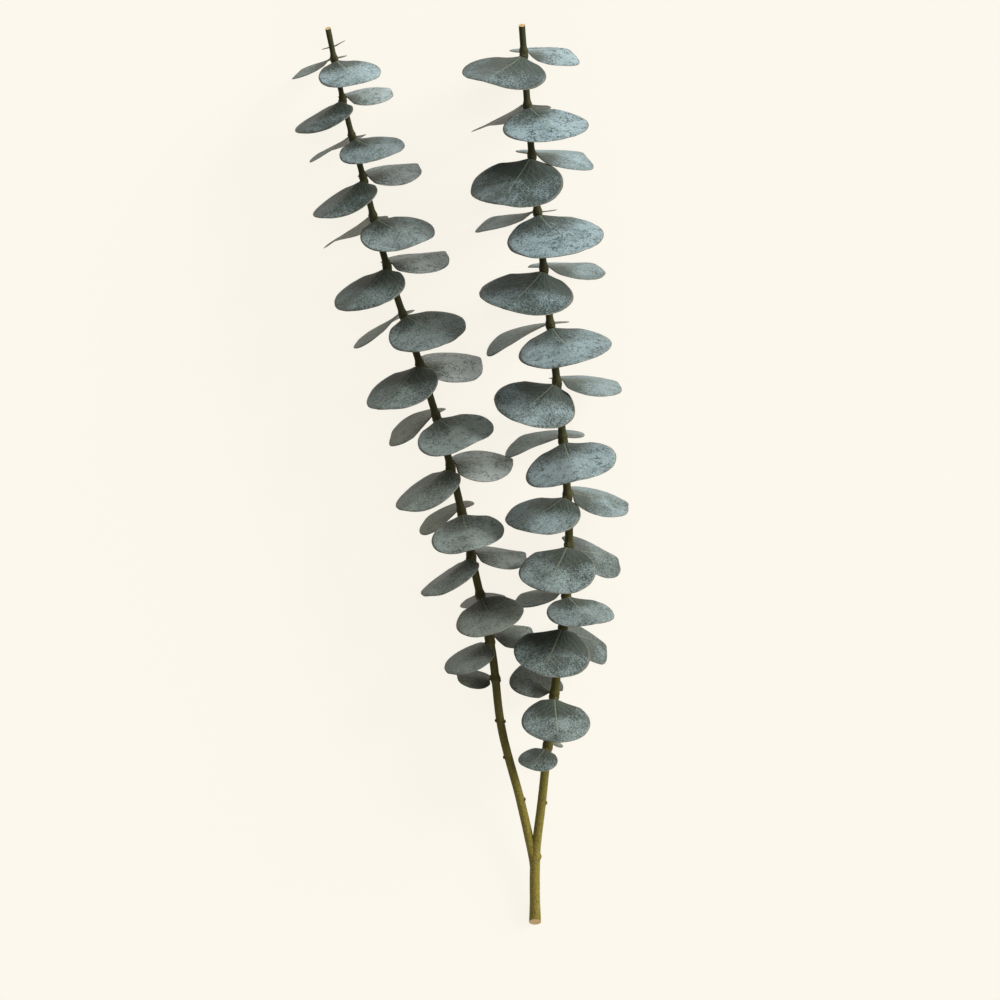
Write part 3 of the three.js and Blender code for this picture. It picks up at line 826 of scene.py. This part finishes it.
leafTree, leafInputs = makeLeafTree()
leafNames = sorted(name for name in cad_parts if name.startswith("leaf_"))
random = np.random.default_rng(leafShape["seed"])
leaves = []
for name in leafNames:
    leaf = measureLeaf(name)
    fitLeaf(leaf)
    bloom, olive, paintedPale = toneOf(leaf, random)
    seed = random.uniform(0, 50)
    piece = meshFromTree("fine_" + name, leafTree, leafInputs, {
        "Base": leaf["base"].tolist(), "Midrib": leaf["midrib"].tolist(), "Side": leaf["side"].tolist(),
        "Normal": leaf["normal"].tolist(), "Length": float(leaf["length"]), "Width": float(leaf["width"]),
        "Reach Left": leaf["reachLeft"], "Reach Right": leaf["reachRight"],
        "Slopes": leaf["slopes"].tolist(), "Bends": leaf["bends"].tolist(), "Curls": leaf["curls"].tolist(),
        "Tone": [seed, bloom, olive], "PaintedPale": paintedPale, "Seed": seed, "Point": leaf["point"],
        "Thickness": leafShape["thickness"], "Material": leafFinish,
    })
    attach(piece, "root")
    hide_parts(name)
    leaves.append(leaf)
print("leaves:", len(leaves), "largest misfit mm", round(max(leaf["misfit"] for leaf in leaves) / mm, 2))


def stemMarks():
    # place, outward and upward direction of each seat, scar, cut end and of the collar under the fork
    seats, scars, ends = [], [], []
    for leaf in leaves:
        centre = leaf["shoot"]["path"][leaf["onPath"]]
        outward = leaf["base"] - centre
        outward -= leaf["axis"] * (outward @ leaf["axis"])
        radius = leaf["shoot"]["radii"][leaf["onPath"]]
        seats.append((centre, outward / np.linalg.norm(outward) * radius, leaf["axis"]))
    for shoot in shoots.values():
        distance = (shoot["path"][:, 1] - footShift[1]) / mm
        for at, side in shoot["scars"]:
            i = np.abs(distance - at).argmin()
            right = np.cross(shoot["tangents"][i], (0, 0, 1))
            right *= shoot["radii"][i] / np.linalg.norm(right)
            scars.append((shoot["path"][i] + side * right, side * right, shoot["tangents"][i]))
        ends.append((shoot["path"][-1], shoot["tangents"][-1], (0, 0, 1)))
    foot = shoots["right"]
    ends.append((foot["path"][0], -foot["tangents"][0], (0, 0, 1)))
    i = np.abs((foot["path"][:, 1] - footShift[1]) / mm - stemShape["collarAt"]).argmin()
    collar = [(foot["path"][i], (1, 0, 0), foot["tangents"][i])]
    return seats, scars, ends, collar


# two scale leaves near the left tip, in millimetres and degrees
scaleLeaves = {
    "height": 494.5,
    "outward": {"scaleLeafRight": (1, 5.6, 14), "scaleLeafLeft": (-1, 3.6, -10)},   # side, length, rise
    "width": 0.6,             # as a part of the length
    "point": 0.15,
    "thickness": 0.45 * mm,
    "baseOut": 0.8,           # from the stem's middle, as a part of its radius
    "lobeReach": 80,
    "bloom": 0.1,
    "olive": 0.6,
}


def addScaleLeaves():
    shoot = shoots["left"]
    i = np.abs((shoot["path"][:, 1] - footShift[1]) / mm - scaleLeaves["height"]).argmin()
    axis = shoot["tangents"][i]
    for name, (side, length, rise) in scaleLeaves["outward"].items():
        across = np.cross(axis, (0, 0, side))
        across /= np.linalg.norm(across)
        midrib = across * math.cos(math.radians(rise)) + axis * math.sin(math.radians(rise))
        normal = axis * math.cos(math.radians(rise)) - across * math.sin(math.radians(rise))
        base = shoot["path"][i] + across * shoot["radii"][i] * scaleLeaves["baseOut"]
        lobeReach = math.radians(scaleLeaves["lobeReach"])
        flat = [0.0, 0.0, 0.0]
        piece = meshFromTree(name, leafTree, leafInputs, {
            "Base": base.tolist(), "Midrib": midrib.tolist(), "Side": np.cross(normal, midrib).tolist(),
            "Normal": normal.tolist(), "Length": length * mm, "Width": length * mm * scaleLeaves["width"],
            "Reach Left": lobeReach, "Reach Right": lobeReach, "Slopes": flat, "Bends": flat, "Curls": flat,
            "Tone": [float(length), scaleLeaves["bloom"], scaleLeaves["olive"]], "PaintedPale": 0.0,
            "Seed": float(length), "Point": scaleLeaves["point"], "Thickness": scaleLeaves["thickness"],
            "Material": leafFinish,
        })
        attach(piece, "root")


addScaleLeaves()
print("scale leaves:", len(scaleLeaves["outward"]))

stemTree, stemInputs = makeStemTree()
seats, scars, ends, collar = stemMarks()
helpers = {
    "Right Shoot": curveObject("rightPath", shoots["right"]),
    "Left Shoot": curveObject("leftPath", shoots["left"]),
    "Seats": markObject("seatMarks", seats),
    "Scars": markObject("scarMarks", scars),
    "Collar": markObject("collarMark", collar),
    "Ends": markObject("endMarks", ends),
}
stem = meshFromTree("fine_stem", stemTree, stemInputs, {**helpers, "Material": stemFinish})
for helper in helpers.values():
    bpy.data.objects.remove(helper)
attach(stem, "root")
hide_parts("stem")
print("stem:", len(stem.data.polygons), "faces")

# Floor, light and the photograph's view
studio = {
    "tilt": 12,                               # degrees from straight above, towards the tips
    "target": (-19.9, 251.8, 35.0),           # millimetres from the cut foot
    "distance": 1600,
    "frameWidth": 540,                        # millimetres across at the target
    "sensor": 36,
    "floorReach": 30.0,                       # metres from the middle to each side
    "floor": (0.10, 0.096, 0.088, 1),
    "floorGlow": (0.892, 0.859, 0.774, 1),    # a light table, so that shadows stay faint
    "keyFrom": (0.74, 0.55, 0.38),
    "keySoftness": 30,                        # degrees across
    "keyPower": 3.4,
    "fillFrom": (0.15, -0.75, 0.6),
    "fillSoftness": 60,
    "fillPower": 0.9,
    "sky": (1.0, 0.99, 0.97, 1),
    "skyStrength": 0.25,
}


def buildStudio():
    target = Vector(np.array(studio["target"]) * mm + footShift)
    tilt = math.radians(studio["tilt"])
    back = Vector((0, math.sin(tilt), math.cos(tilt)))
    lens = bpy.data.cameras.new("camera")
    lens.sensor_width = studio["sensor"]
    lens.lens = studio["sensor"] * studio["distance"] / studio["frameWidth"]
    camera = bpy.data.objects.new("camera", lens)
    eye = target + back * studio["distance"] * mm
    camera.matrix_world = Matrix.Translation(eye) @ Matrix.Rotation(-tilt, 4, "X")
    bpy.context.scene.collection.objects.link(camera)
    bpy.context.scene.camera = camera

    plane = bpy.data.meshes.new("floor")
    wide = studio["floorReach"]
    corners = [(-wide, -wide, 0), (wide, -wide, 0), (wide, wide, 0), (-wide, wide, 0)]
    plane.from_pydata(corners, [], [(0, 1, 2, 3)])
    floor = bpy.data.objects.new("floor", plane)
    bpy.context.scene.collection.objects.link(floor)
    paper = bpy.data.materials.new("paleFloor")
    paper.use_nodes = True
    shader = paper.node_tree.nodes["Principled BSDF"]
    shader.inputs["Base Color"].default_value = studio["floor"]
    shader.inputs["Roughness"].default_value = 0.9
    shader.inputs["Specular IOR Level"].default_value = 0.0
    shader.inputs["Emission Color"].default_value = studio["floorGlow"]
    shader.inputs["Emission Strength"].default_value = 1.0
    plane.materials.append(paper)
    floor.visible_diffuse = False

    for name in ("key", "fill"):
        sun = bpy.data.lights.new(name, "SUN")
        sun.angle = math.radians(studio[name + "Softness"])
        sun.energy = studio[name + "Power"]
        light = bpy.data.objects.new(name, sun)
        light.location = target + Vector(studio[name + "From"])
        light.rotation_euler = Vector(studio[name + "From"]).to_track_quat("Z", "Y").to_euler()
        bpy.context.scene.collection.objects.link(light)
    world = bpy.data.worlds.new("studioSky")
    world.use_nodes = True
    world.node_tree.nodes["Background"].inputs["Color"].default_value = studio["sky"]
    world.node_tree.nodes["Background"].inputs["Strength"].default_value = studio["skyStrength"]
    bpy.context.scene.world = world
    bpy.context.scene.view_settings.view_transform = "Standard"


buildStudio()
print("studio set")
